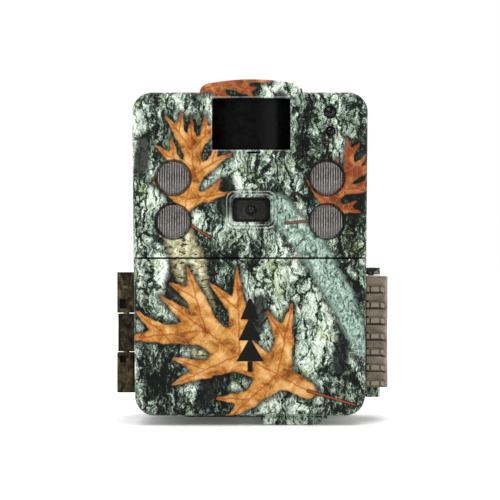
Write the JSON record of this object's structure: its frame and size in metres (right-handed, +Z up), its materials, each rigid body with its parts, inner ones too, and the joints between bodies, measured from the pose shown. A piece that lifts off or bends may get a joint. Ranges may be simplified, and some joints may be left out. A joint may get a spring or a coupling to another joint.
{
  "type": "trail camera",
  "caption": "Compact strap-on trail camera with a camouflage print: hinged door with hooded motion sensor, framed lens, round infrared lamps, side latch and slide-out cell tray.",
  "frame": {"origin": "centre of the tripod socket's mouth, level with what the camera stands on", "axes": "+Z up, the lens looks along -Y, +X to the right of someone facing the lens"},
  "size_m": [0.0927, 0.0635, 0.1142],
  "materials": {
    "printed_shell": "camouflage print under a matt coat",
    "latch_plastic": "fine moulded texture",
    "black_plastic": "fine moulded texture",
    "black_film": "smooth gloss",
    "clear_window": "polished",
    "lamp_lens": "clear ribbed",
    "rubber": "matt",
    "steel": "bright plated",
    "brass": "machined",
    "board": "solder mask",
    "chip": "matt",
    "reflector": "metallised",
    "cell_wrap": "printed foil wrap",
    "screen": "glass-faced"
  },
  "bodies": {
    "case": {"rear_case": "printed_shell", "case_gasket": "rubber", "tripod_insert": "brass", "hinge_pin": "steel", "latch_pin": "steel"},
    "door": {"bay_terminals": "steel", "camera_board": "board", "camera_window": "clear_window", "clock_battery": "steel", "control_panel": "black_plastic", "cover_screws": "steel", "front_housing": "printed_shell", "image_sensor": "chip", "indicator_led": "chip", "indicator_lens": "clear_window", "ir_leds": "lamp_lens", "led_boards": "board", "led_lens_1": "lamp_lens", "led_lens_2": "lamp_lens", "led_lens_3": "lamp_lens", "led_lens_4": "lamp_lens", "led_reflectors": "reflector", "lens_barrel": "black_plastic", "lens_elements": "clear_window", "lens_holder": "black_plastic", "light_sensor": "chip", "light_sensor_lens": "clear_window", "lower_cover": "printed_shell", "main_board": "board", "main_capacitors": "steel", "microphone": "steel", "panel_screws": "steel", "pir_board": "board", "pir_sensor": "steel", "pir_window": "black_film", "power_jack": "black_plastic", "processor_chips": "chip", "screen_module": "screen", "screen_window": "clear_window", "sd_socket": "steel", "slide_switch_body": "chip", "tact_switches": "chip", "upper_faceplate": "printed_shell", "window_seal": "rubber"},
    "latch": {"latch_lever": "latch_plastic"},
    "mode_key": {"mode_button": "black_plastic"},
    "up_key": {"up_button": "black_plastic"},
    "down_key": {"down_button": "black_plastic"},
    "enter_key": {"enter_button": "black_plastic"},
    "power_knob": {"power_switch": "black_plastic"},
    "card": {"sd_card": "chip"},
    "plug": {"jack_plug": "rubber"},
    "filter": {"ir_filter_frame": "black_plastic", "ir_filter_glass": "clear_window"},
    "tray": {"battery_tray": "black_plastic", "tray_seal": "rubber", "battery_cells": "cell_wrap", "cell_springs": "steel", "contact_plates": "steel"}
  },
  "joints": [
    {"name": "door_hinge", "type": "hinge", "parent": "case", "child": "door", "pos_m": [-0.0429, -0.009, 0.0296], "axis": [0, 0, -1], "range_deg": [0, 115]},
    {"name": "latch_swing", "type": "hinge", "parent": "case", "child": "latch", "pos_m": [0.0423, -0.003, 0.0304], "axis": [0, 0, 1], "range_deg": [0, 100]},
    {"name": "tray_slide", "type": "slide", "parent": "door", "child": "tray", "axis": [0, 0, -1], "range_m": [0, 0.056]},
    {"name": "power_slide", "type": "slide", "parent": "door", "child": "power_knob", "axis": [1, 0, 0], "range_m": [0, 0.004]},
    {"name": "card_slide", "type": "slide", "parent": "door", "child": "card", "axis": [0, 1, 0], "range_m": [0, 0.012]},
    {"name": "plug_pull", "type": "slide", "parent": "door", "child": "plug", "axis": [-1, 0, 0], "range_m": [0, 0.008]},
    {"name": "filter_slide", "type": "slide", "parent": "door", "child": "filter", "axis": [1, 0, 0], "range_m": [0, 0.0072]},
    {"name": "mode_press", "type": "slide", "parent": "door", "child": "mode_key", "axis": [0, -1, 0], "range_m": [0, 0.0006], "stiffness_N_per_m": 600},
    {"name": "up_press", "type": "slide", "parent": "door", "child": "up_key", "axis": [0, -1, 0], "range_m": [0, 0.0006], "stiffness_N_per_m": 600},
    {"name": "down_press", "type": "slide", "parent": "door", "child": "down_key", "axis": [0, -1, 0], "range_m": [0, 0.0006], "stiffness_N_per_m": 600},
    {"name": "enter_press", "type": "slide", "parent": "door", "child": "enter_key", "axis": [0, -1, 0], "range_m": [0, 0.0006], "stiffness_N_per_m": 600}
  ]
}
